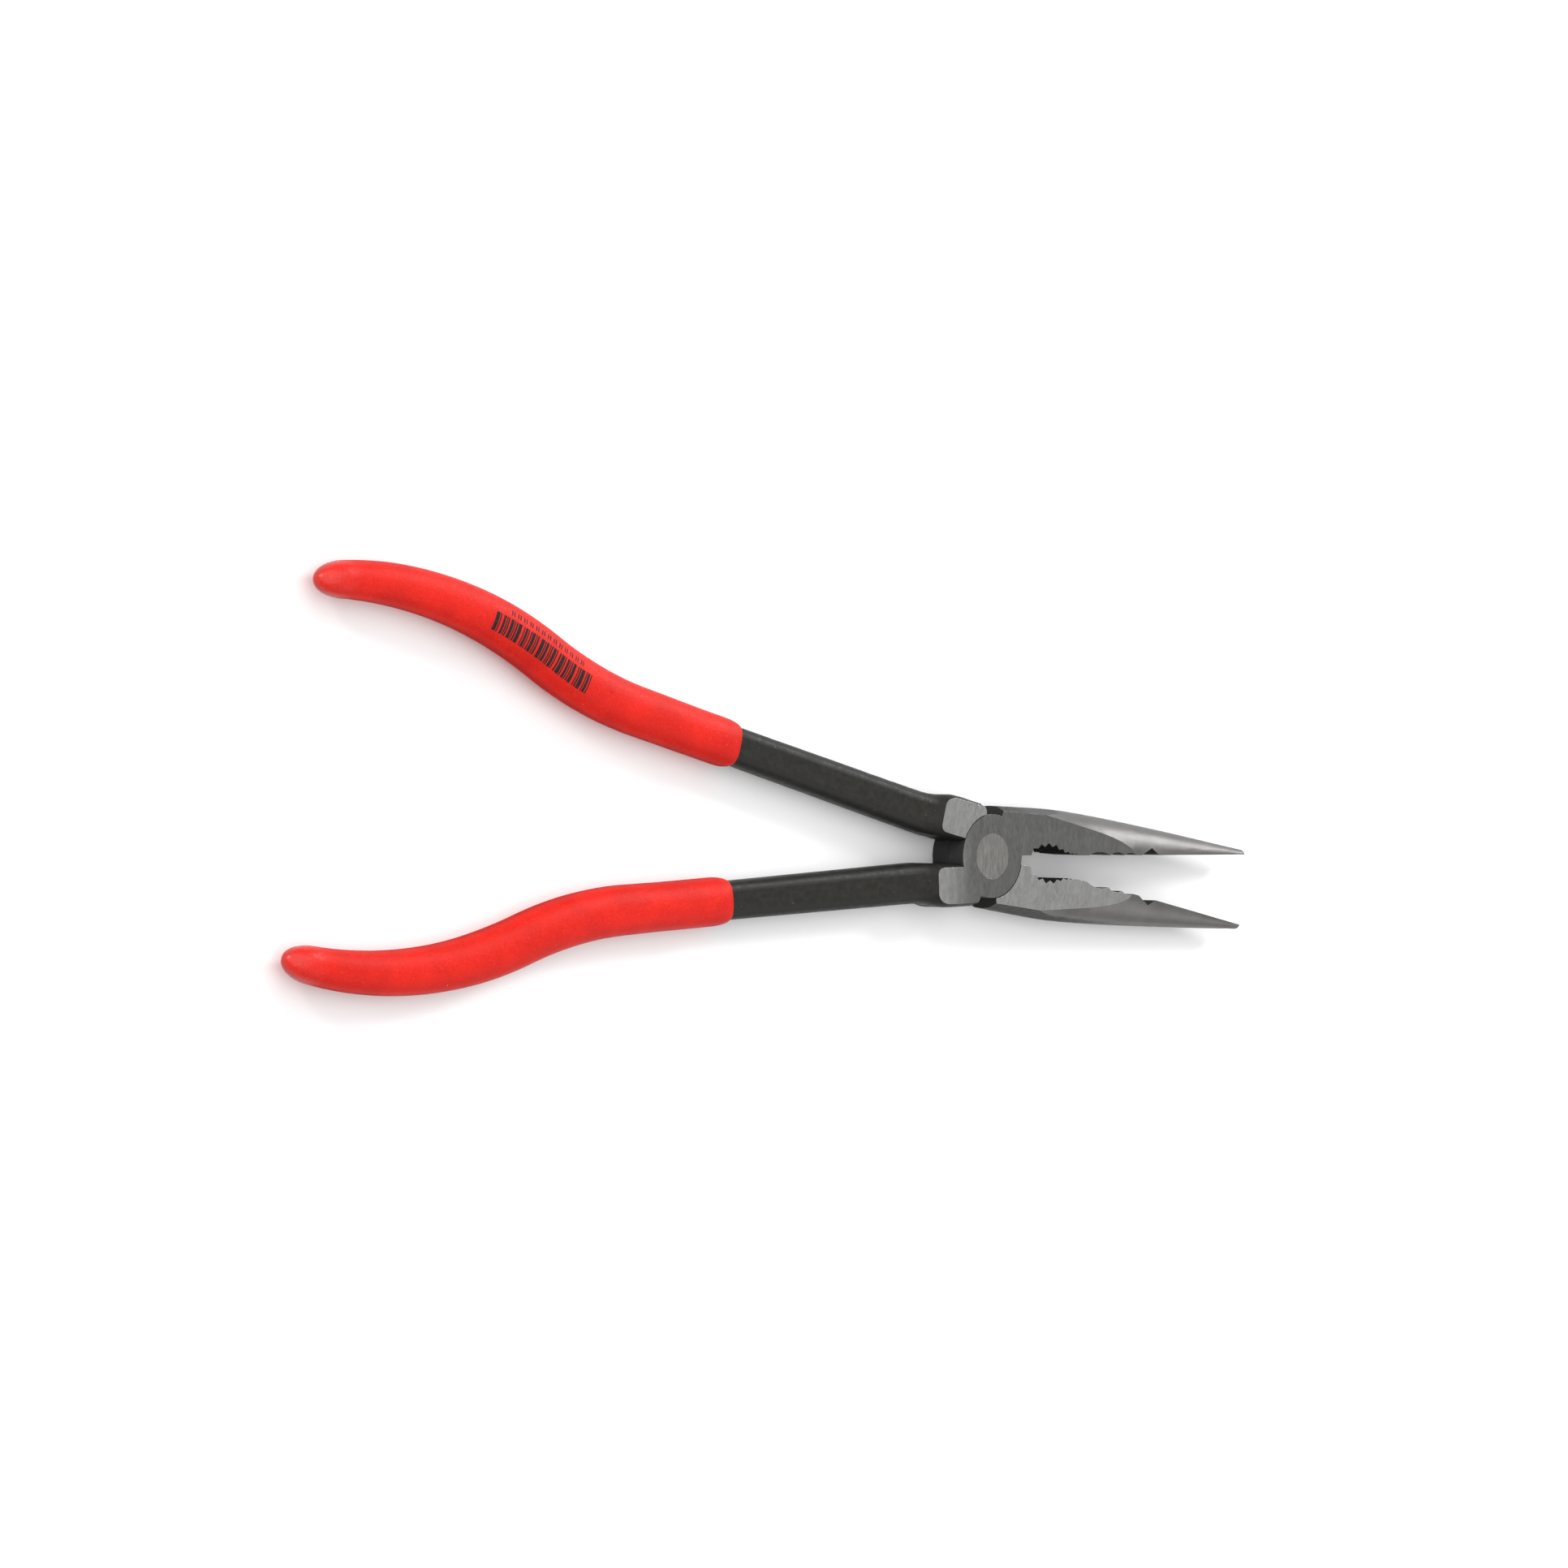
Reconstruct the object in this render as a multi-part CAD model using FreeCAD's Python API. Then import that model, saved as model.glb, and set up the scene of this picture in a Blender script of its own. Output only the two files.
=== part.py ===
import FreeCAD, Part
import math
import os

# Long-reach needle-nose pliers with a riveted lap joint and dipped handles. Millimetres.
#
# Frame: the origin is on the pivot axis, on the flat underside of the joint. +X runs to the
# jaw tips, +Z up the pivot axis. The pliers lie slightly open, symmetric about the XZ plane.
#
# Both halves are the same forging. It is modelled once in its own closed position, with the
# pivot at the origin, the joint's middle plane at z = 0, the jaw above the closing line y = 0
# and the handle below it. The second half is the same forging turned over about the X axis.

V = FreeCAD.Vector
X_AXIS = V(1, 0, 0)
Z_AXIS = V(0, 0, 1)

# Joint
JOINT_T = 9.4              # thickness of the ground joint, over both halves
HALF_T = JOINT_T / 2
LAP_GAP = 0.1              # between the two lapped faces
BOSS_R = 9.15              # round boss of each half, half the joint thick
BOSS_CLEAR = 0.2           # between a boss and the arc shoulder it turns in
JAW_SHOULDER = 71.5        # angle of the jaw's end wall, degrees from +X
HANDLE_SHOULDER = -111.0   # angle of the handle's end wall
SHOULDER_R = 1.6           # rounding of that wall's outer corner, and its centre
SHOULDER_CORNER = (-5.2, -8.75)
REST_OPENING = 10.7        # angle between the gripping faces as the pliers lie

# Rivet, ground flush with both faces of the joint
RIVET_R = 4.0
RIVET_HEAD_R = 5.0
RIVET_HEAD_H = 1.3
RIVET_CLEAR = 0.05         # radial running clearance in the half that turns on it

# Jaw: half-oval sections (distance from the pivot, height, half thickness), ground flat on
# both sides to the joint thickness
JAW_SECTIONS = [
    (1.0, 11.1, 15.0),
    (13.5, 10.65, 10.5),
    (19.5, 10.4, 8.1),
    (26.0, 9.9, 6.7),
    (34.5, 8.9, 5.75),
    (45.5, 7.4, 4.7),
    (65.0, 4.45, 3.1),
    (85.4, 1.2, 1.3),
]
TIP_R = 1.4                # radius of the rounded tip beyond the last section
JAW_REACH = 86.8
BEVEL_START = 10.1         # bevel along the jaw's back: its edge on the ground face, at x = 0
BEVEL_LEAN = 0.39          # outwards per millimetre below the ground face
BEVEL_TAPER = 0.065        # inwards per millimetre towards the tip
BEVEL_LENGTH = 30.0

# Gripping face, depths measured from the closing line
FACE_CLEAR = 0.05          # each gripping face stands this far off the closing line
PAD_START = 8.0            # flat pad in the throat, next to the boss
PAD_END = 12.2
PAD_DEPTH = 0.15
THROAT_DEPTH = 1.68        # flat step between the pad and the first tooth
THROAT_END = 14.45
TEETH = [                  # pipe grip, finer towards the nose: gullet x, depth, tip x, depth
    (15.35, 2.58, 16.55, 1.97),
    (17.75, 2.85, 18.88, 1.95),
    (20.15, 2.43, 21.05, 1.32),
    (22.2, 1.52, 22.95, 0.65),
    (23.95, 0.92, 24.6, 0.42),
    (25.2, 0.62, 25.85, 0.32),
    (26.6, 0.45, 27.2, 0.22),
    (27.8, 0.32, 28.3, 0.15),
    (28.8, 0.22, 29.2, 0.1),
]
FACE_LIP = 0.08            # depth of the lands between the cross grooves
GROOVES = [(30.6, 37.6, 0.85), (37.65, 42.15, 0.74), (42.2, 46.0, 0.62)]  # from, to, depth
NOTCH = [(48.0, FACE_CLEAR), (51.85, 1.62), (54.2, FACE_CLEAR)]

# Handle centreline: straight, then flared outwards, then curved back in for the palm
HANDLE_OFFSET = 4.6        # of the centreline from the closing line, at the pivot
HANDLE_SLOPE = 3.46        # degrees
STRAIGHT = 103.8
FLARE_R = 100.0
FLARE_ANGLE = 16.45
PALM_R = 103.0

# Handle sections: distance along the centreline, offset outwards, half width,
# half thickness, corner radius
HANDLE_SECTIONS = [
    (0.0, 1.45, 4.65, 5.5, 2.6),
    (7.0, 1.22, 4.68, 5.5, 2.6),
    (13.6, 0.98, 4.73, 5.45, 2.6),
    (15.6, 0.65, 4.61, 5.2, 2.6),
    (17.2, 0.36, 4.51, 4.2, 2.5),
    (20.0, 0.07, 4.42, 3.45, 2.4),
    (25.0, 0.0, 4.4, 3.15, 2.4),
    (46.0, 0.0, 4.28, 3.05, 2.3),
    (74.0, 0.0, 4.1, 3.0, 2.2),
    (104.0, 0.0, 4.05, 2.95, 2.2),
    (122.0, 0.0, 4.1, 2.95, 2.2),
    (140.0, 0.0, 4.05, 2.9, 2.2),
    (160.0, 0.0, 3.6, 2.8, 2.1),
    (176.0, 0.0, 3.1, 2.6, 1.9),
    (187.5, 0.0, 2.2, 1.9, 1.4),
]
NECK_END = 30.0            # where the neck behind the joint has become the plain shank

# Dipped grips: distance along the centreline, half width, half thickness. The two were dipped
# to slightly different depths.
GRIP_FRONTS = {"lower_handle_grip": 75.9, "upper_handle_grip": 77.3}
GRIP_LIP_LENGTH = 3.8      # the rounded front, which thins down onto the boxier shank
GRIP_LIP_INSET = 0.92
GRIP_LIP_ROUND = 3.0
GRIP_SECTIONS = [
    (79.0, 5.18, 4.0),
    (95.0, 5.25, 4.05),
    (115.0, 5.4, 4.1),
    (136.0, 5.45, 4.1),
    (157.0, 5.0, 4.0),
    (176.0, 4.4, 3.8),
    (187.3, 3.9, 3.55),
]
GRIP_END = 195.1
GRIP_CAP = 7.8             # length of the rounded end
GRIP_ROUND = 2.2           # exponent of the oval section: 2 is an ellipse, more is boxier


# ---------------------------------------------------------------- helpers

def prism(points, low, high):
    """A polygon in the XY plane, extruded from z = low to z = high."""
    corners = [V(x, y, low) for x, y in points]
    wire = Part.makePolygon(corners + corners[:1])
    return Part.Face(wire).extrude(V(0, 0, high - low))


def disc(radius, low, high):
    return Part.makeCylinder(radius, high - low, V(0, 0, low), Z_AXIS)


def sector(start, end, radius=40.0):
    """A wedge about the pivot axis, between two directions given in degrees."""
    middle = (start + end) / 2
    points = [(0.0, 0.0)]
    for angle in (start, middle, end):
        points.append((
            radius * math.cos(math.radians(angle)),
            radius * math.sin(math.radians(angle)),
        ))
    return prism(points, -10.0, 10.0)


def blend(keys, x):
    """Smooth values at x through a short table whose rows start with the position."""
    index = 0
    while index < len(keys) - 2 and x > keys[index + 1][0]:
        index += 1
    left = keys[index]
    right = keys[index + 1]
    before = keys[max(index - 1, 0)]
    after = keys[min(index + 2, len(keys) - 1)]
    width = right[0] - left[0]
    t = min(max((x - left[0]) / width, 0.0), 1.0)
    values = []
    for column in range(1, len(left)):
        slope_a = (right[column] - before[column]) / (right[0] - before[0])
        slope_b = (after[column] - left[column]) / (after[0] - left[0])
        values.append(
            left[column] * (1 + 2 * t) * (1 - t) ** 2
            + right[column] * (3 - 2 * t) * t ** 2
            + slope_a * width * t * (1 - t) ** 2
            - slope_b * width * t ** 2 * (1 - t)
        )
    return values


def evenly(start, end, spacing):
    """Positions from start to end, evenly spaced."""
    count = max(round((end - start) / spacing), 1)
    return [start + (end - start) * step / count for step in range(count + 1)]


def skin(wires):
    return Part.makeLoft(wires, True)


def handle_frame(distance):
    """A point on the handle's centreline and the unit vector pointing outwards there."""
    heading = math.radians(HANDLE_SLOPE)
    length = min(distance, STRAIGHT)
    x = -length * math.cos(heading)
    y = -HANDLE_OFFSET - length * math.sin(heading)
    flare = min(max(distance - STRAIGHT, 0.0) / FLARE_R, math.radians(FLARE_ANGLE))
    x -= FLARE_R * (math.sin(heading + flare) - math.sin(heading))
    y -= FLARE_R * (math.cos(heading) - math.cos(heading + flare))
    heading += flare
    beyond = max(distance - STRAIGHT - FLARE_R * math.radians(FLARE_ANGLE), 0.0)
    palm = beyond / PALM_R
    x -= PALM_R * (math.sin(heading) - math.sin(heading - palm))
    y -= PALM_R * (math.cos(heading - palm) - math.cos(heading))
    heading -= palm
    return V(x, y, 0), V(math.sin(heading), -math.cos(heading), 0)


def rounded_section(distance, offset, half_w, half_t, corner):
    """Rounded rectangle across the handle."""
    centre, out = handle_frame(distance)
    centre = centre + out * offset

    def point(u, v):
        return centre + out * u + Z_AXIS * v

    flat_u = half_w - corner
    flat_v = half_t - corner
    diagonal = corner * math.sqrt(0.5)
    edges = []
    for su, sv in ((1, 1), (-1, 1), (-1, -1), (1, -1)):
        start = point(su * half_w, sv * flat_v)
        middle = point(su * (flat_u + diagonal), sv * (flat_v + diagonal))
        end = point(su * flat_u, sv * half_t)
        if su * sv < 0:
            start, end = end, start
        if edges:
            last = edges[-1].Vertexes[-1].Point
            edges.append(Part.LineSegment(last, start).toShape())
        edges.append(Part.Arc(start, middle, end).toShape())
    last = edges[-1].Vertexes[-1].Point
    first = edges[0].Vertexes[0].Point
    edges.append(Part.LineSegment(last, first).toShape())
    return Part.Wire(edges)


def oval_section(distance, half_w, half_t, power=GRIP_ROUND):
    """Smooth oval across the handle, for the soft grip."""
    centre, out = handle_frame(distance)
    points = []
    for step in range(16):
        angle = math.radians(22.5 * step)
        c = math.cos(angle)
        s = math.sin(angle)
        u = math.copysign(abs(c) ** (2 / power), c) * half_w
        v = math.copysign(abs(s) ** (2 / power), s) * half_t
        points.append(centre + out * u + Z_AXIS * v)
    curve = Part.BSplineCurve()
    curve.interpolate(Points=points, PeriodicFlag=True)
    return Part.Wire([curve.toShape()])


# ---------------------------------------------------------------- the forging

def jaw_section(x, height, half_t):
    """Half oval standing on the closing line."""
    points = []
    for step in range(13):
        angle = math.radians(15.0 * step)
        points.append(V(x, height * math.sin(angle), -half_t * math.cos(angle)))
    curve = Part.BSplineCurve()
    curve.interpolate(points)
    base = Part.LineSegment(points[-1], points[0])
    return Part.Wire([curve.toShape(), base.toShape()])


def jaw_tip():
    """The rounded end beyond the last jaw section."""
    x, height, half_t = JAW_SECTIONS[-1]
    wires = []
    for step in range(6):
        angle = math.radians(15.0 * step)
        shrink = math.cos(angle)
        wires.append(jaw_section(x + TIP_R * math.sin(angle), height * shrink, half_t * shrink))
    return skin(wires)


def jaw_bevels():
    """Wedges that bevel the two long edges of the jaw's back, next to the joint."""
    wedges = []
    for side in (1, -1):
        corners = [
            V(0, BEVEL_START, side * HALF_T),
            V(0, BEVEL_START + BEVEL_LEAN * HALF_T, 0),
            V(0, BEVEL_START + 8.0, 0),
            V(0, BEVEL_START + 8.0, side * HALF_T),
        ]
        face = Part.Face(Part.makePolygon(corners + corners[:1]))
        wedges.append(face.extrude(V(BEVEL_LENGTH, -BEVEL_TAPER * BEVEL_LENGTH, 0)))
    return wedges


def gripping_cut():
    """Everything below the gripping face, with its teeth, grooves and notch."""
    edges = []
    last = V(PAD_START, -2.0, -8.0)

    def line_to(x, y):
        nonlocal last
        target = V(x, y, -8.0)
        edges.append(Part.LineSegment(last, target).toShape())
        last = target

    line_to(PAD_START, PAD_DEPTH)
    line_to(PAD_END, PAD_DEPTH)
    line_to(PAD_END + 0.7, THROAT_DEPTH)
    line_to(THROAT_END, THROAT_DEPTH)
    for gullet, gullet_depth, tip, tip_depth in TEETH:
        line_to(gullet, gullet_depth)
        line_to(tip, tip_depth)
    for start, end, depth in GROOVES:
        line_to(start, FACE_LIP)
        middle = V((start + end) / 2, depth, -8.0)
        finish = V(end, FACE_LIP, -8.0)
        edges.append(Part.Arc(last, middle, finish).toShape())
        last = finish
    for x, depth in NOTCH:
        line_to(x, depth)
    line_to(JAW_REACH + 2.0, FACE_CLEAR)
    line_to(JAW_REACH + 2.0, -2.0)
    line_to(PAD_START, -2.0)
    return Part.Face(Part.Wire(edges)).extrude(V(0, 0, 16.0))


def jaw():
    positions = evenly(JAW_SECTIONS[0][0], JAW_SECTIONS[-1][0], 4.4)
    nose = skin([jaw_section(x, *blend(JAW_SECTIONS, x)) for x in positions])
    body = nose.fuse(jaw_tip())
    for wedge in jaw_bevels():
        body = body.cut(wedge)
    body = body.common(Part.makeBox(100, 14, JOINT_T, V(0, 0, -HALF_T)))
    return body.common(sector(-60.0, JAW_SHOULDER, 200.0))


def shoulder_corner():
    """What rounds off the outer corner of the handle's end wall."""
    x, y = SHOULDER_CORNER
    block = Part.makeBox(4.0, 4.0, 12.0, V(x, y - 4.0, -6.0))
    return block.cut(Part.makeCylinder(SHOULDER_R, 12.0, V(x, y, -6.0), Z_AXIS))


def handle():
    neck = evenly(HANDLE_SECTIONS[0][0], NECK_END, 1.6)
    shank = evenly(NECK_END, HANDLE_SECTIONS[-1][0], 7.0)
    pieces = []
    for positions in (neck, shank):
        wires = [rounded_section(s, *blend(HANDLE_SECTIONS, s)) for s in positions]
        pieces.append(skin(wires))
    body = pieces[0].fuse(pieces[1])
    body = body.common(Part.makeBox(220, 60, JOINT_T, V(-215, -45, -HALF_T)))
    shoulder = sector(HANDLE_SHOULDER, HANDLE_SHOULDER + 100.0, 30.0)
    return body.cut(shoulder).cut(shoulder_corner())


def rivet_body(grow=0.0):
    """The rivet, or the hole it needs when grown by a clearance."""
    over = 0.0 if grow == 0.0 else 0.5
    slant = (RIVET_HEAD_R - RIVET_R) / RIVET_HEAD_H
    outer = RIVET_HEAD_R + grow + over * slant
    profile = [
        V(0, 0, -HALF_T - over),
        V(outer, 0, -HALF_T - over),
        V(RIVET_R + grow, 0, -HALF_T + RIVET_HEAD_H),
        V(RIVET_R + grow, 0, HALF_T - RIVET_HEAD_H),
        V(outer, 0, HALF_T + over),
        V(0, 0, HALF_T + over),
    ]
    face = Part.Face(Part.makePolygon(profile + profile[:1]))
    return face.revolve(V(0, 0, 0), Z_AXIS, 360)


def forging(bore_clearance):
    """One half: jaw, boss and handle in one piece."""
    boss = disc(BOSS_R, LAP_GAP / 2, HALF_T)
    seat = disc(BOSS_R + BOSS_CLEAR, -HALF_T - 1.0, LAP_GAP / 2)
    jaw_part = jaw().cut(gripping_cut()).cut(seat)
    handle_part = handle().cut(seat)
    body = boss.fuse([jaw_part, handle_part]).removeSplitter()
    return body.cut(rivet_body(bore_clearance))


# ---------------------------------------------------------------- grips

def grip_outer(dip_line):
    """The grip's outside, as a solid: rounded front lip, body and rounded end."""
    front = dip_line + GRIP_LIP_LENGTH
    back = GRIP_END - GRIP_CAP
    lip = []
    for step in range(6):
        angle = math.radians(18.0 * step)
        thinning = 1 - math.sin(angle)
        inset = GRIP_LIP_INSET * thinning
        power = GRIP_ROUND + (GRIP_LIP_ROUND - GRIP_ROUND) * thinning
        half_w, half_t = blend(GRIP_SECTIONS, front)
        along = front - GRIP_LIP_LENGTH * math.cos(angle)
        lip.append(oval_section(along, half_w - inset, half_t - inset, power))
    body = [oval_section(s, *blend(GRIP_SECTIONS, s)) for s in evenly(front, back, 5.0)]
    cap = []
    for step in range(7):
        angle = math.radians(14.4 * step)
        half_w, half_t = blend(GRIP_SECTIONS, back)
        along = back + GRIP_CAP * math.sin(angle)
        cap.append(oval_section(along, half_w * math.cos(angle), half_t * math.cos(angle)))
    return skin(lip).fuse([skin(body), skin(cap)])


# ---------------------------------------------------------------- placing

def place(shape, turned_over):
    """From the forging's own closed position to the joint frame, half the rest opening."""
    placed = shape.copy()
    angle = REST_OPENING / 2
    if turned_over:
        placed.rotate(V(0, 0, 0), X_AXIS, 180)
        angle = -angle
    placed.rotate(V(0, 0, 0), Z_AXIS, angle)
    placed.translate(V(0, 0, HALF_T))
    return placed


def main():
    os.makedirs("parts", exist_ok=True)
    fixed_half = forging(0.0)
    turning_half = forging(RIVET_CLEAR)
    grips = {}
    for name, dip_line in GRIP_FRONTS.items():
        grips[name] = grip_outer(dip_line).cut(fixed_half)
    parts = {
        "upper_jaw_half": place(fixed_half, False),
        "lower_jaw_half": place(turning_half, True),
        "pivot_rivet": place(rivet_body(), False),
        "lower_handle_grip": place(grips["lower_handle_grip"], False),
        "upper_handle_grip": place(grips["upper_handle_grip"], True),
    }
    for name, shape in parts.items():
        shape.exportStep("parts/" + name + ".step")


main()
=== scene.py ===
import math

import bmesh
import bpy
from mathutils import Matrix, Vector, noise


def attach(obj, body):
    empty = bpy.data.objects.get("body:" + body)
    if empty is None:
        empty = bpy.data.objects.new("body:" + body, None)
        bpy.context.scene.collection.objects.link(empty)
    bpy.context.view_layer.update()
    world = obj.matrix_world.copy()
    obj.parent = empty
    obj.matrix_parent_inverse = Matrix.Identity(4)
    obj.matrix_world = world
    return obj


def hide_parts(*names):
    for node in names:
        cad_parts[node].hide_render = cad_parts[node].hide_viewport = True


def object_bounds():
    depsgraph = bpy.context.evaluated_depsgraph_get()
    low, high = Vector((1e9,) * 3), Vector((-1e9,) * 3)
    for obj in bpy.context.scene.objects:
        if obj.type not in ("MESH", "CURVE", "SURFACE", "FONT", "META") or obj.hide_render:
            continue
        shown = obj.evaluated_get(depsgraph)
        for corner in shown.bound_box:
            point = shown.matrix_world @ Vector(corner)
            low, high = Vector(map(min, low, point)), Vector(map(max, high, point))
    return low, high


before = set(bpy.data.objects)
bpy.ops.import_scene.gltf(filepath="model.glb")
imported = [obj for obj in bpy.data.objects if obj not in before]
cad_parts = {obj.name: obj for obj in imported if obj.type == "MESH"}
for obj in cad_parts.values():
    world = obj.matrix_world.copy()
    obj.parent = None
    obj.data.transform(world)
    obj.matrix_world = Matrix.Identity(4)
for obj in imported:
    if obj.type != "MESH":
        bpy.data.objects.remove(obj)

MM = 0.001
CAD_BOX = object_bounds()

# The pliers' own numbers, in millimetres, as the CAD has them.
HALF_T = 4.7               # half the joint's thickness, and the height of its middle plane
BOSS_R = 9.15
EDGE_RADIUS = 0.10 * MM    # the steel's edges look rounded this much
HALF_OPENING = 5.35        # each half is turned this far from closed, degrees
HANDLE_OFFSET = 4.6
HANDLE_SLOPE = math.radians(3.46)
STRAIGHT = 103.8
FLARE_R = 100.0
FLARE_ANGLE = math.radians(16.45)
PALM_R = 103.0
GRIP_ROUND = 2.2           # exponent of the oval section
GRIP_FIT = 0.998           # keeps the finer grips just inside the CAD's
GRIP_LIP_LENGTH = 3.8
GRIP_LIP_INSET = 0.92
LIP_ROUND = 3.0            # the lip follows the boxier shank
GRIP_END = 195.1
GRIP_CAP = 7.8
LOWER_GRIP_FRONT = 75.9    # distance along the handle, as every grip length below
UPPER_GRIP_FRONT = 77.3
GRIP_SECTIONS = [          # distance, half width, half thickness
    (79.0, 5.18, 4.0),
    (95.0, 5.25, 4.05),
    (115.0, 5.4, 4.1),
    (136.0, 5.45, 4.1),
    (157.0, 5.0, 4.0),
    (176.0, 4.4, 3.8),
    (187.3, 3.9, 3.55),
]

# The finer grip meshes: points round a section, and steps along the lip, body and end
AROUND = 64
LIP_STEPS = 8
BODY_STEPS = 96
CAP_STEPS = 11
CAP_STEP_ANGLE = 7.6       # degrees, so that the end closes just inside the CAD's
INNER_HALF_W = 3.6         # where the front wall closes, inside the shank
INNER_HALF_T = 2.5

# The stamp on the upper grip: where it lies along the grip and round it, degrees
BARS_FROM = 122.3
BARS_TO = 150.2
BAR_ANGLES = (-119.0, -77.5)
BAR_WIDTHS = (0.30, 0.62, 0.30, 0.95, 0.42, 0.30, 0.78, 0.36)
BAR_GAPS = (0.26, 0.17, 0.40, 0.17, 0.22, 0.62, 0.20)
TICKS_FROM = 125.2
TICK_PAIRS = 13
TICK_PITCH = 1.73
TICK_SPACING = 0.62
TICK_WIDTH = 0.28
TICK_ANGLES = (-69.5, -56.5)
INK_LIFT = 0.012
INK_DEPTH = 0.05

# Studio: name, direction from the pliers, distance m, size m, power W
LAMPS = (
    ("key", (-0.42, 0.26, 0.86), 1.6, 2.6, 29.0),
    ("jaw_side", (0.68, 0.55, 0.48), 1.2, 0.28, 8.0),
    ("fill", (0.68, -0.43, 0.60), 1.2, 0.6, 2.2),
    ("grip_ends", (-0.84, 0.42, 0.26), 1.1, 0.14, 2.6),
)
LAMP_CENTRE = (-0.05, 0, 0)
WORLD_STRENGTH = 0.55
FLOOR_GAP = 0.1 * MM       # keeps the floor clear of the joint's flat underside
LENS = 130.99
CAMERA_TURN = (6.19485, -43.46695, -0.77344)           # about Z, then Y, then X, degrees
CAMERA_BACK_OFF = (-0.0423301, 0.0157235, 1.2498715)


# ---------------------------------------------------------------- geometry helpers

def smooth_values(keys, x):
    """Smooth values at x through a short table whose rows start with the position."""
    index = 0
    while index < len(keys) - 2 and x > keys[index + 1][0]:
        index += 1
    left, right = keys[index], keys[index + 1]
    before, after = keys[max(index - 1, 0)], keys[min(index + 2, len(keys) - 1)]
    width = right[0] - left[0]
    t = min(max((x - left[0]) / width, 0.0), 1.0)
    values = []
    for column in range(1, len(left)):
        slope_a = (right[column] - before[column]) / (right[0] - before[0])
        slope_b = (after[column] - left[column]) / (after[0] - left[0])
        values.append(
            left[column] * (1 + 2 * t) * (1 - t) ** 2
            + right[column] * (3 - 2 * t) * t ** 2
            + slope_a * width * t * (1 - t) ** 2
            - slope_b * width * t ** 2 * (1 - t)
        )
    return values


def handle_frame(distance):
    """A point on the handle's centreline and the unit vector pointing outwards there, mm."""
    heading = HANDLE_SLOPE
    length = min(distance, STRAIGHT)
    x = -length * math.cos(heading)
    y = -HANDLE_OFFSET - length * math.sin(heading)
    flare = min(max(distance - STRAIGHT, 0.0) / FLARE_R, FLARE_ANGLE)
    x -= FLARE_R * (math.sin(heading + flare) - math.sin(heading))
    y -= FLARE_R * (math.cos(heading) - math.cos(heading + flare))
    heading += flare
    palm = max(distance - STRAIGHT - FLARE_R * FLARE_ANGLE, 0.0) / PALM_R
    x -= PALM_R * (math.sin(heading) - math.sin(heading - palm))
    y -= PALM_R * (math.cos(heading - palm) - math.cos(heading))
    heading -= palm
    return Vector((x, y, 0)), Vector((math.sin(heading), -math.cos(heading), 0))


def half_matrix(turned_over):
    """From a half's own closed position, in mm, to the row frame, in metres."""
    turn = Matrix.Rotation(math.pi, 4, "X") if turned_over else Matrix.Identity(4)
    angle = math.radians(-HALF_OPENING if turned_over else HALF_OPENING)
    lift = Matrix.Translation((0, 0, HALF_T * MM))
    return lift @ Matrix.Rotation(angle, 4, "Z") @ turn @ Matrix.Scale(MM, 4)


def oval(half_w, half_t, angle, power=GRIP_ROUND):
    """A point on an oval section: power 2 is an ellipse, more is boxier."""
    c, s = math.cos(angle), math.sin(angle)
    u = math.copysign(abs(c) ** (2 / power), c) * half_w
    v = math.copysign(abs(s) ** (2 / power), s) * half_t
    return u, v


def grip_size(distance, dip_line):
    """Half width, half thickness and section power of the grip along the handle."""
    half_w, half_t = smooth_values(GRIP_SECTIONS, distance)
    lip_end = dip_line + GRIP_LIP_LENGTH
    if distance < lip_end:
        along = min((lip_end - distance) / GRIP_LIP_LENGTH, 1.0)
        inset = 1 - math.sqrt(1 - along * along)
        power = GRIP_ROUND + (LIP_ROUND - GRIP_ROUND) * inset
        return half_w - GRIP_LIP_INSET * inset, half_t - GRIP_LIP_INSET * inset, power
    cap_start = GRIP_END - GRIP_CAP
    if distance > cap_start:
        along = min((distance - cap_start) / GRIP_CAP, 1.0)
        shrink = math.sqrt(1 - along * along)
        return half_w * shrink, half_t * shrink, GRIP_ROUND
    return half_w, half_t, GRIP_ROUND


def grip_point(distance, angle, dip_line, lift=0.0):
    """A point on the grip's skin, mm, in the half's own frame."""
    centre, out = handle_frame(distance)
    half_w, half_t, power = grip_size(distance, dip_line)
    swell = GRIP_FIT
    if dip_line < distance < GRIP_END:
        spot = Vector((distance * 0.07, math.cos(angle) * 0.5, math.sin(angle) * 0.5 + dip_line))
        ends = min((distance - dip_line) / 12, (GRIP_END - distance) / 16, 1.0)
        swell -= 0.012 * max(ends, 0.0) * (1 + noise.noise(spot))
    u, v = oval((half_w + lift) * swell, (half_t + lift) * swell, angle, power)
    return centre + out * u + Vector((0, 0, v))


def mesh_object(name, bm, body):
    bmesh.ops.recalc_face_normals(bm, faces=bm.faces)
    mesh = bpy.data.meshes.new(name)
    bm.to_mesh(mesh)
    bm.free()
    mesh.shade_smooth()
    made = bpy.data.objects.new(name, mesh)
    bpy.context.scene.collection.objects.link(made)
    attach(made, body)
    return made


# ---------------------------------------------------------------- material helpers

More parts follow.
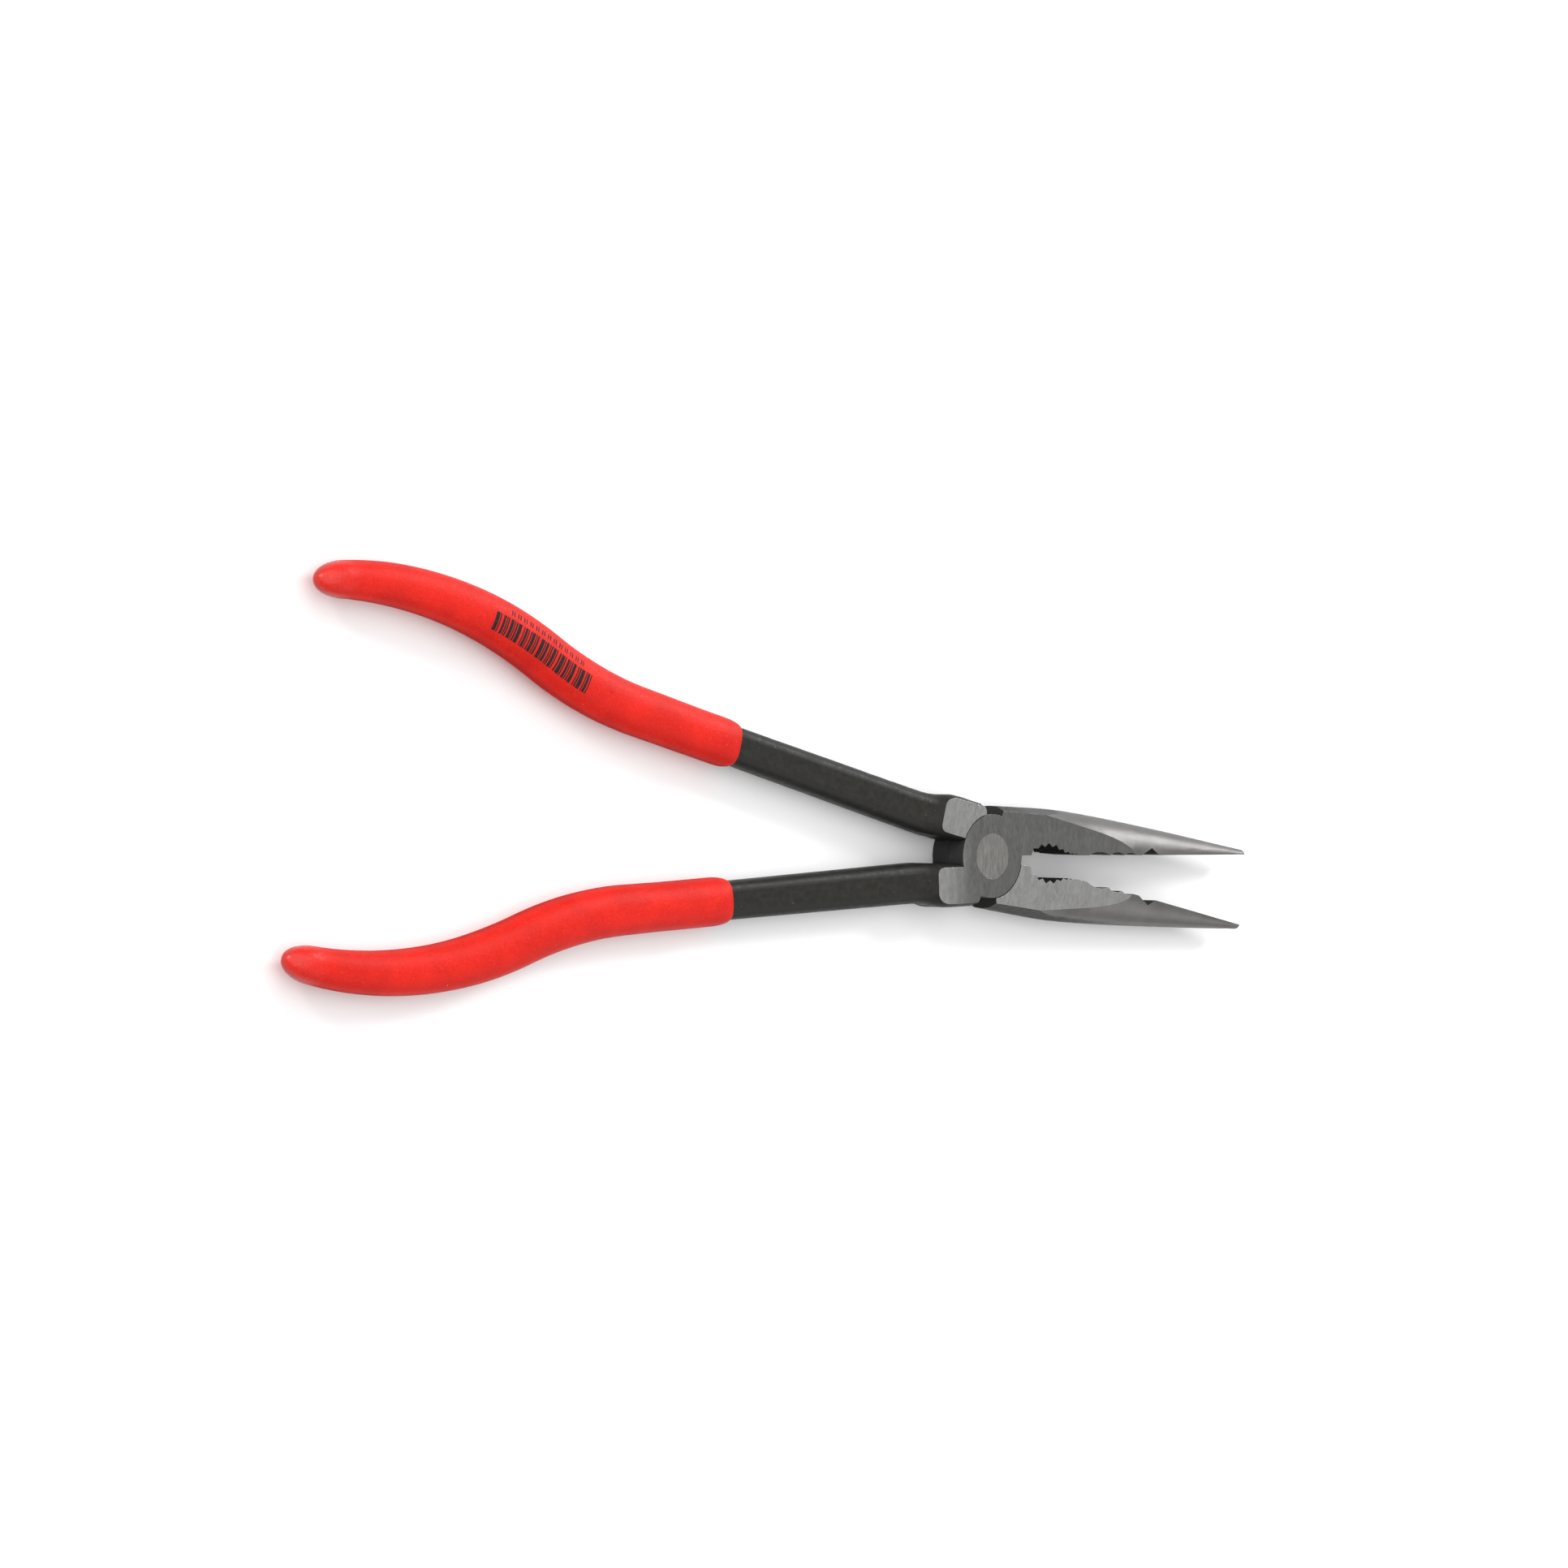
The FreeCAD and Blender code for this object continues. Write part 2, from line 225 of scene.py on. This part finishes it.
class Shader:
    """A short way to write node materials."""

    def __init__(self, name):
        self.material = bpy.data.materials.new(name)
        self.material.use_nodes = True
        self.tree = self.material.node_tree
        self.tree.nodes.clear()
        self.out = self.node("ShaderNodeOutputMaterial")
        self.bsdf = self.node("ShaderNodeBsdfPrincipled")
        self.link(self.bsdf.outputs[0], self.out.inputs["Surface"])

    def node(self, kind, **settings):
        made = self.tree.nodes.new(kind)
        for key, value in settings.items():
            setattr(made, key, value)
        return made

    def link(self, source, target):
        self.tree.links.new(source, target)

    def feed(self, socket, value):
        if isinstance(value, bpy.types.NodeSocket):
            self.link(value, socket)
        else:
            socket.default_value = value

    def set(self, **values):
        for key, value in values.items():
            self.feed(self.bsdf.inputs[key.replace("_", " ")], value)

    def math(self, operation, a, b=0.0, c=0.0):
        made = self.node("ShaderNodeMath", operation=operation)
        for socket, value in zip(made.inputs, (a, b, c)):
            self.feed(socket, value)
        return made.outputs[0]

    def ramp(self, value, low, high, to_low=0.0, to_high=1.0, smooth=True):
        made = self.node("ShaderNodeMapRange")
        made.interpolation_type = "SMOOTHSTEP" if smooth else "LINEAR"
        for socket, given in zip(made.inputs, (value, low, high, to_low, to_high)):
            self.feed(socket, given)
        return made.outputs[0]

    def mix(self, factor, a, b):
        made = self.node("ShaderNodeMix", data_type="RGBA")
        self.feed(made.inputs[0], factor)
        self.feed(made.inputs[6], a)
        self.feed(made.inputs[7], b)
        return made.outputs[2]

    def blend(self, factor, a, b):
        made = self.node("ShaderNodeMix", data_type="FLOAT")
        self.feed(made.inputs[0], factor)
        self.feed(made.inputs[2], a)
        self.feed(made.inputs[3], b)
        return made.outputs[0]

    def noise(self, vector, scale, detail=2.0, rough=0.5):
        made = self.node("ShaderNodeTexNoise")
        self.feed(made.inputs["Vector"], vector)
        self.feed(made.inputs["Scale"], scale)
        self.feed(made.inputs["Detail"], detail)
        self.feed(made.inputs["Roughness"], rough)
        return made.outputs[0]

    def stretch(self, vector, scale, turn=(0.0, 0.0, 0.0), shift=(0.0, 0.0, 0.0)):
        made = self.node("ShaderNodeMapping")
        self.feed(made.inputs["Vector"], vector)
        made.inputs["Location"].default_value = shift
        made.inputs["Rotation"].default_value = turn
        made.inputs["Scale"].default_value = scale
        return made.outputs[0]

    def bump(self, height, distance, strength=1.0, normal=None):
        made = self.node("ShaderNodeBump")
        self.feed(made.inputs["Height"], height)
        made.inputs["Distance"].default_value = distance
        made.inputs["Strength"].default_value = strength
        if normal is not None:
            self.link(normal, made.inputs["Normal"])
        return made.outputs[0]

    def half_coordinates(self, turned_over):
        """Object coordinates in mm, in the half's own closed position."""
        source = self.node("ShaderNodeTexCoord").outputs["Object"]
        turn = math.radians(-HALF_OPENING)
        if turned_over:
            return self.stretch(source, (1000,) * 3, (math.pi, 0, turn), (0, 0, HALF_T))
        return self.stretch(source, (1000,) * 3, (0, 0, turn), (0, 0, -HALF_T))

    def axes(self, vector):
        made = self.node("ShaderNodeSeparateXYZ")
        self.feed(made.inputs[0], vector)
        return made.outputs

    def upright(self):
        """0 on walls, 1 on faces that look straight up or down."""
        face = self.node("ShaderNodeNewGeometry").outputs["True Normal"]
        return self.math("ABSOLUTE", self.axes(face)[2])

    def tinted(self, tone, tint):
        made = self.node("ShaderNodeCombineColor")
        for socket, part in zip(made.inputs, tint):
            self.feed(socket, self.math("MULTIPLY", tone, part))
        return made.outputs[0]


def grey(value, warm=0.0):
    return (value * (1 + 0.2 * warm), value, value * (1 - warm), 1.0)


# ---------------------------------------------------------------- materials

def ground_finish(s, place, darker_boss_side, fine):
    """Ground faces: fine lines across the pliers. Returns the colour and the lines."""
    lines = s.noise(s.stretch(place, (6.0, 0.7, 6.0), (0, 0, math.radians(4))), 1.0, 4.0, 0.7)
    broad = s.noise(s.stretch(place, (0.9, 0.2, 0.9)), 1.0, 2.0)
    # the boss side's ground faces are painted at about half the tone of the others
    tone = s.blend(darker_boss_side, 0.32, 0.152)
    tone = s.math("MULTIPLY", tone, s.ramp(lines, 0.3, 0.7, 0.91, 1.09, smooth=False))
    tone = s.math("MULTIPLY", tone, s.ramp(fine, 0.3, 0.7, 0.95, 1.05, smooth=False))
    tone = s.math("MULTIPLY", tone, s.ramp(broad, 0.3, 0.7, 0.91, 1.09, smooth=False))
    return s.tinted(tone, (1.0, 0.995, 0.97)), lines


def oxide_finish(s, place, mottle, boss_wall, valley):
    """Dark oxide left from the forge, with a few bare specks. The turned walls of the
    bosses are a little lighter, and the hollows between the teeth get painted shade, a
    near-black tone."""
    oxide = s.mix(s.ramp(mottle, 0.3, 0.8), grey(0.011, 0.15), grey(0.019, 0.18))
    specks = s.ramp(s.noise(place, 1.6, 2.0, 0.4), 0.745, 0.775)
    oxide = s.mix(s.math("MULTIPLY", specks, 0.35), oxide, grey(0.24, 0.03))
    oxide = s.mix(s.math("MULTIPLY", boss_wall, 0.8), oxide, grey(0.035))
    # painted shade: the valleys between the teeth are painted near black
    return s.mix(valley, oxide, grey(0.014))


def nose_finish(s, place, fine, up, bevel):
    """Satin nose, with painted shade on its sides and along the bevel of its back."""
    wide = s.noise(place, 0.16, 2.0)
    tone = s.math("MULTIPLY", s.ramp(fine, 0.3, 0.7, 0.82, 1.18, smooth=False), 0.145)
    tone = s.math("MULTIPLY", tone, s.ramp(wide, 0.3, 0.7, 0.92, 1.08, smooth=False))
    # painted shade: faces that look sideways are painted down to 0.42 of the nose's tone
    tone = s.math("MULTIPLY", tone, s.ramp(up, 0.1, 0.72, 0.42, 1.0))
    nose_colour = s.tinted(tone, (1.0, 0.985, 0.955))
    # painted shade: the bevel of the back is painted nearly black
    return s.mix(s.math("MULTIPLY", bevel, 0.9), nose_colour, grey(0.02))


def steel_material(name, turned_over):
    """One forging: ground joint faces, satin nose and dark oxide shank."""
    s = Shader(name)
    place = s.half_coordinates(turned_over)
    x, y, z = s.axes(place)
    source = s.node("ShaderNodeTexCoord").outputs["Normal"]
    turn = math.radians(HALF_OPENING if turned_over else -HALF_OPENING)
    side_normal = s.axes(s.stretch(source, (1, 1, 1), (0, 0, turn)))
    inward = s.math("MULTIPLY", side_normal[1], 1.0 if turned_over else -1.0)
    up = s.upright()
    mottle = s.noise(place, 0.7, 4.0, 0.6)
    fine = s.noise(place, 5.0, 3.0, 0.6)

    # ground: the flat faces at the joint's full thickness. The boss and the jaw on its
    # side are painted darker than the other jaw and the handles
    flat = s.math("GREATER_THAN", s.math("ABSOLUTE", side_normal[2]), 0.995)
    high = s.math("GREATER_THAN", s.math("ABSOLUTE", z), HALF_T - 0.05)
    ground = s.math("MULTIPLY", flat, high)
    darker_boss_side = s.math("MULTIPLY", s.math("GREATER_THAN", z, 0.0), s.ramp(x, -15.0, -5.0))

    # valley: the gripping face down in its teeth, grooves and notch, which gets painted shade:
    # near black and without shine
    valley = s.math("MULTIPLY", s.ramp(y, 0.10, 0.45), s.math("GREATER_THAN", inward, 0.2))
    valley = s.math("MULTIPLY", valley, s.math("GREATER_THAN", x, 8.0))
    valley = s.math("MULTIPLY", valley, 0.88)

    # bevel: the outer side of the jaw's back, which gets painted shade; further along the lower
    # jaw it also takes the dark oxide colour in place of bare steel
    bevel_end, bevel_shade_share = (50.0, 0.85) if turned_over else (24.0, 0.0)
    bevel = s.math("MULTIPLY", s.ramp(inward, -0.76, -0.90), s.ramp(x, bevel_end, 22.0))
    bevel = s.math("MULTIPLY", bevel, s.math("GREATER_THAN", x, 1.0))

    # nose: bare from just past the joint, where the oxide wears off unevenly
    wander = s.ramp(mottle, 0.3, 0.7, -1.5, 1.5, smooth=False)
    nose = s.ramp(s.math("ADD", x, wander), 5.0, 15.0)
    nose = s.math("MULTIPLY", nose, s.math("SUBTRACT", 1.0, valley))
    # painted shade: most of the lower jaw's bevel is kept out of the bare nose
    painted_bevel_shade = s.math("MULTIPLY", bevel, bevel_shade_share)
    nose = s.math("MULTIPLY", nose, s.math("SUBTRACT", 1.0, painted_bevel_shade))
    bare = s.math("MAXIMUM", ground, nose)

    radius = s.math("SQRT", s.math("ADD", s.math("MULTIPLY", x, x), s.math("MULTIPLY", y, y)))
    boss_wall = s.math("LESS_THAN", radius, BOSS_R + 0.05)
    boss_wall = s.math("MULTIPLY", boss_wall, s.math("LESS_THAN", up, 0.3))

    ground_colour, lines = ground_finish(s, place, darker_boss_side, fine)
    colour = oxide_finish(s, place, mottle, boss_wall, valley)
    colour = s.mix(nose, colour, nose_finish(s, place, fine, up, bevel))
    colour = s.mix(ground, colour, ground_colour)
    rough = s.ramp(mottle, 0.3, 0.7, 0.42, 0.56)
    rough = s.blend(nose, rough, s.ramp(fine, 0.3, 0.7, 0.38, 0.48))
    rough = s.blend(ground, rough, s.ramp(lines, 0.3, 0.7, 0.32, 0.46))
    s.set(Base_Color=colour, Roughness=rough, Metallic=bare)
    # painted shade: the valleys are given no shine
    s.set(Specular_IOR_Level=s.blend(valley, 0.17, 0.0))

    bevel_edge = s.node("ShaderNodeBevel", samples=4)
    bevel_edge.inputs["Radius"].default_value = EDGE_RADIUS
    height = s.blend(ground, fine, s.math("MULTIPLY", lines, 0.4))
    normal = s.bump(height, 0.02 * MM, 0.6, bevel_edge.outputs[0])
    normal = s.bump(s.blend(bare, mottle, 0.5), 0.10 * MM, 0.35, normal)
    s.set(Normal=normal)
    return s.material


def rivet_material():
    """Rivet ends ground flush, scratched at a slight slant."""
    s = Shader("rivet_steel")
    place = s.stretch(s.node("ShaderNodeTexCoord").outputs["Object"], (1000,) * 3)
    lines = s.noise(s.stretch(place, (4.6, 0.3, 4.6), (0, 0, math.radians(12))), 1.0, 4.0, 0.7)
    tone = s.ramp(lines, 0.3, 0.7, 0.20, 0.295, smooth=False)
    s.set(Base_Color=s.tinted(tone, (1.0, 0.985, 0.94)), Metallic=1.0)
    s.set(Roughness=s.ramp(lines, 0.3, 0.7, 0.30, 0.46))
    s.set(Normal=s.bump(lines, 0.02 * MM, 0.5))
    return s.material


def dip_material():
    """Soft red dipped plastic with a fine grain, a few pale specks, a little dirt and painted
    shade on its sides.
    """
    s = Shader("red_dip")
    place = s.stretch(s.node("ShaderNodeTexCoord").outputs["Object"], (1000,) * 3)
    grain = s.noise(place, 1.9, 3.0, 0.7)
    cloud = s.noise(place, 0.12, 3.0, 0.5)
    base = s.mix(s.ramp(cloud, 0.3, 0.7), (0.54, 0.009, 0.004, 1), (0.64, 0.012, 0.005, 1))
    base = s.mix(s.ramp(grain, 0.55, 0.72, 0.0, 0.50), base, (0.80, 0.040, 0.026, 1))
    base = s.mix(s.ramp(grain, 0.45, 0.30, 0.0, 0.45), base, (0.34, 0.003, 0.003, 1))
    up = s.upright()
    # painted shade: the sides, which look neither up nor down, are painted a darker red
    base = s.mix(s.ramp(up, 0.60, 0.0, 0.0, 0.55), base, (0.28, 0.004, 0.002, 1))
    specks = s.ramp(s.noise(place, 0.9, 1.0, 0.3), 0.835, 0.845)
    base = s.mix(s.math("MULTIPLY", specks, 0.5), base, (0.75, 0.42, 0.22, 1))
    tip = s.ramp(s.axes(place)[0], -181.0, -187.5)
    rough = s.ramp(grain, 0.3, 0.7, 0.42, 0.60)
    s.set(Base_Color=base, Roughness=s.blend(tip, rough, 0.24))
    s.set(Specular_IOR_Level=s.blend(tip, s.ramp(up, 0.05, 0.6, 0.03, 0.15), 0.42))
    normal = s.bump(grain, 0.11 * MM, 0.8)
    normal = s.bump(s.noise(place, 0.35, 2.0), 0.15 * MM, 0.35, normal)
    s.set(Normal=normal)
    return s.material


def ink_material():
    """Black stamp ink, rubbed thin here and there."""
    s = Shader("print_ink")
    place = s.stretch(s.node("ShaderNodeTexCoord").outputs["Object"], (1000,) * 3)
    wear = s.noise(place, 2.2, 3.0, 0.7)
    s.set(Base_Color=s.mix(s.ramp(wear, 0.56, 0.72), grey(0.012), (0.20, 0.012, 0.010, 1)))
    s.set(Roughness=s.ramp(wear, 0.3, 0.7, 0.6, 0.75))
    s.set(Normal=s.bump(wear, 0.03 * MM, 0.5))
    s.bsdf.inputs["Specular IOR Level"].default_value = 0.15
    return s.material


def floor_material():
    """Pale floor, glowing a little far from the pliers where the lamps don't reach."""
    s = Shader("studio_floor")
    place = s.node("ShaderNodeTexCoord").outputs["Object"]
    cloud = s.noise(place, 3.0, 2.0)
    s.set(Base_Color=s.mix(cloud, grey(0.86), grey(0.88)), Roughness=0.7)
    s.bsdf.inputs["Specular IOR Level"].default_value = 0.2
    far = s.node("ShaderNodeVectorMath", operation="LENGTH")
    s.link(place, far.inputs[0])
    s.set(Emission_Color=grey(1.0))
    s.set(Emission_Strength=s.ramp(far.outputs["Value"], 0.6, 2.6, 0.0, 0.6))
    return s.material


# ---------------------------------------------------------------- grips

def grip_stations(dip_line):
    """Distances of the sections, close together at both ends."""
    stations = []
    for step in range(LIP_STEPS + 1):
        turn = math.pi / 2 * step / LIP_STEPS
        stations.append(dip_line + GRIP_LIP_LENGTH * (1 - math.cos(turn)))
    lip_end = stations[-1]
    cap_start = GRIP_END - GRIP_CAP
    for step in range(1, BODY_STEPS + 1):
        stations.append(lip_end + (cap_start - lip_end) * step / BODY_STEPS)
    for step in range(1, CAP_STEPS + 1):
        turn = math.radians(CAP_STEP_ANGLE * step)
        stations.append(cap_start + GRIP_CAP * math.sin(turn))
    return stations


def build_grip(name, dip_line, turned_over, body, replaced, material):
    """The dipped sleeve: rounded front lip, long body and rounded end, closed inside."""
    angles = [math.tau * step / AROUND for step in range(AROUND)]
    to_row = half_matrix(turned_over)
    bm = bmesh.new()
    centre, out = handle_frame(dip_line)
    inner = []
    for angle in angles:
        u, v = oval(INNER_HALF_W, INNER_HALF_T, angle)
        inner.append(bm.verts.new(to_row @ (centre + out * u + Vector((0, 0, v)))))
    rings = [inner]
    for distance in grip_stations(dip_line):
        points = [grip_point(distance, angle, dip_line) for angle in angles]
        rings.append([bm.verts.new(to_row @ point) for point in points])
    for lower, upper in zip(rings, rings[1:]):
        for step in range(AROUND):
            after = (step + 1) % AROUND
            bm.faces.new((lower[step], lower[after], upper[after], upper[step]))
    bm.faces.new(rings[0])
    bm.faces.new(rings[-1])
    made = mesh_object(name, bm, body)
    made.data.materials.append(material)
    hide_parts(replaced)
    return made


def ink_strip(bm, start, width, angles, pieces):
    """One thin closed strip of ink that follows the upper grip's skin round its section."""
    to_row = half_matrix(True)
    end = start + width
    corners = ((start, -INK_DEPTH), (start, INK_LIFT), (end, INK_LIFT), (end, -INK_DEPTH))
    loops = []
    for step in range(pieces + 1):
        angle = math.radians(angles[0] + (angles[1] - angles[0]) * step / pieces)
        loop = []
        for distance, lift in corners:
            point = grip_point(distance, angle, UPPER_GRIP_FRONT, lift)
            loop.append(bm.verts.new(to_row @ point))
        loops.append(loop)
    for one, two in zip(loops, loops[1:]):
        for side in range(4):
            after = (side + 1) % 4
            bm.faces.new((one[side], one[after], two[after], two[side]))
    bm.faces.new(loops[0])
    bm.faces.new(loops[-1])


def build_print(material):
    """A generic code-like stamp on the upper grip: plain bars in a repeated order."""
    bm = bmesh.new()
    place = BARS_FROM
    count = 0
    while place < BARS_TO:
        width = BAR_WIDTHS[count % len(BAR_WIDTHS)]
        ink_strip(bm, place, width, BAR_ANGLES, 9)
        place += width + BAR_GAPS[count % len(BAR_GAPS)]
        count += 1
    for mark in range(TICK_PAIRS):
        start = TICKS_FROM + mark * TICK_PITCH
        ink_strip(bm, start, TICK_WIDTH, TICK_ANGLES, 3)
        ink_strip(bm, start + TICK_SPACING, TICK_WIDTH, TICK_ANGLES, 3)
    made = mesh_object("upper_grip_print", bm, "lower_jaw_body")
    made.data.shade_flat()
    made.data.materials.append(material)


# ---------------------------------------------------------------- studio

def build_studio():
    bm = bmesh.new()
    bmesh.ops.create_grid(bm, x_segments=1, y_segments=1, size=6.0)
    mesh = bpy.data.meshes.new("floor")
    bm.to_mesh(mesh)
    bm.free()
    floor = bpy.data.objects.new("floor", mesh)
    floor.location = (0, 0, CAD_BOX[0].z - FLOOR_GAP)
    mesh.materials.append(floor_material())
    bpy.context.scene.collection.objects.link(floor)

    world = bpy.data.worlds.new("studio_world")
    bpy.context.scene.world = world
    world.use_nodes = True
    background = world.node_tree.nodes["Background"]
    background.inputs[0].default_value = (1.0, 1.0, 1.0, 1.0)
    background.inputs[1].default_value = WORLD_STRENGTH

    for name, direction, distance, size, power in LAMPS:
        lamp = bpy.data.lights.new(name, "AREA")
        lamp.shape = "SQUARE"
        lamp.size = size
        lamp.energy = power
        made = bpy.data.objects.new(name, lamp)
        away = Vector(direction).normalized()
        made.location = Vector(LAMP_CENTRE) + away * distance
        made.rotation_mode = "QUATERNION"
        made.rotation_quaternion = away.to_track_quat("Z", "Y")
        bpy.context.scene.collection.objects.link(made)


def build_camera():
    """Long lens, from the handle side, turned so that the pliers lie across the picture."""
    data = bpy.data.cameras.new("camera")
    data.sensor_width = 36.0
    data.lens = LENS
    data.clip_start = 0.05
    data.clip_end = 20.0
    camera = bpy.data.objects.new("camera", data)
    turn = Matrix.Identity(4)
    for angle, axis in zip(CAMERA_TURN, "ZYX"):
        turn = turn @ Matrix.Rotation(math.radians(angle), 4, axis)
    back_off = Matrix.Translation(CAMERA_BACK_OFF)
    camera.matrix_world = Matrix.Translation((0, 0, HALF_T * MM)) @ turn @ back_off
    bpy.context.scene.collection.objects.link(camera)
    bpy.context.scene.camera = camera


def main():
    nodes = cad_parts
    finishes = {
        "upper_jaw_half": steel_material("forged_steel_upper", False),
        "lower_jaw_half": steel_material("forged_steel_lower", True),
        "pivot_rivet": rivet_material(),
    }
    for name, material in finishes.items():
        nodes[name].data.materials.clear()
        nodes[name].data.materials.append(material)
    red = dip_material()
    build_grip(
        "lower_grip_sleeve", LOWER_GRIP_FRONT, False, "upper_jaw_body", "lower_handle_grip", red
    )
    build_grip(
        "upper_grip_sleeve", UPPER_GRIP_FRONT, True, "lower_jaw_body", "upper_handle_grip", red
    )
    build_print(ink_material())
    build_studio()
    build_camera()
    bpy.context.scene.view_settings.view_transform = "Standard"


main()
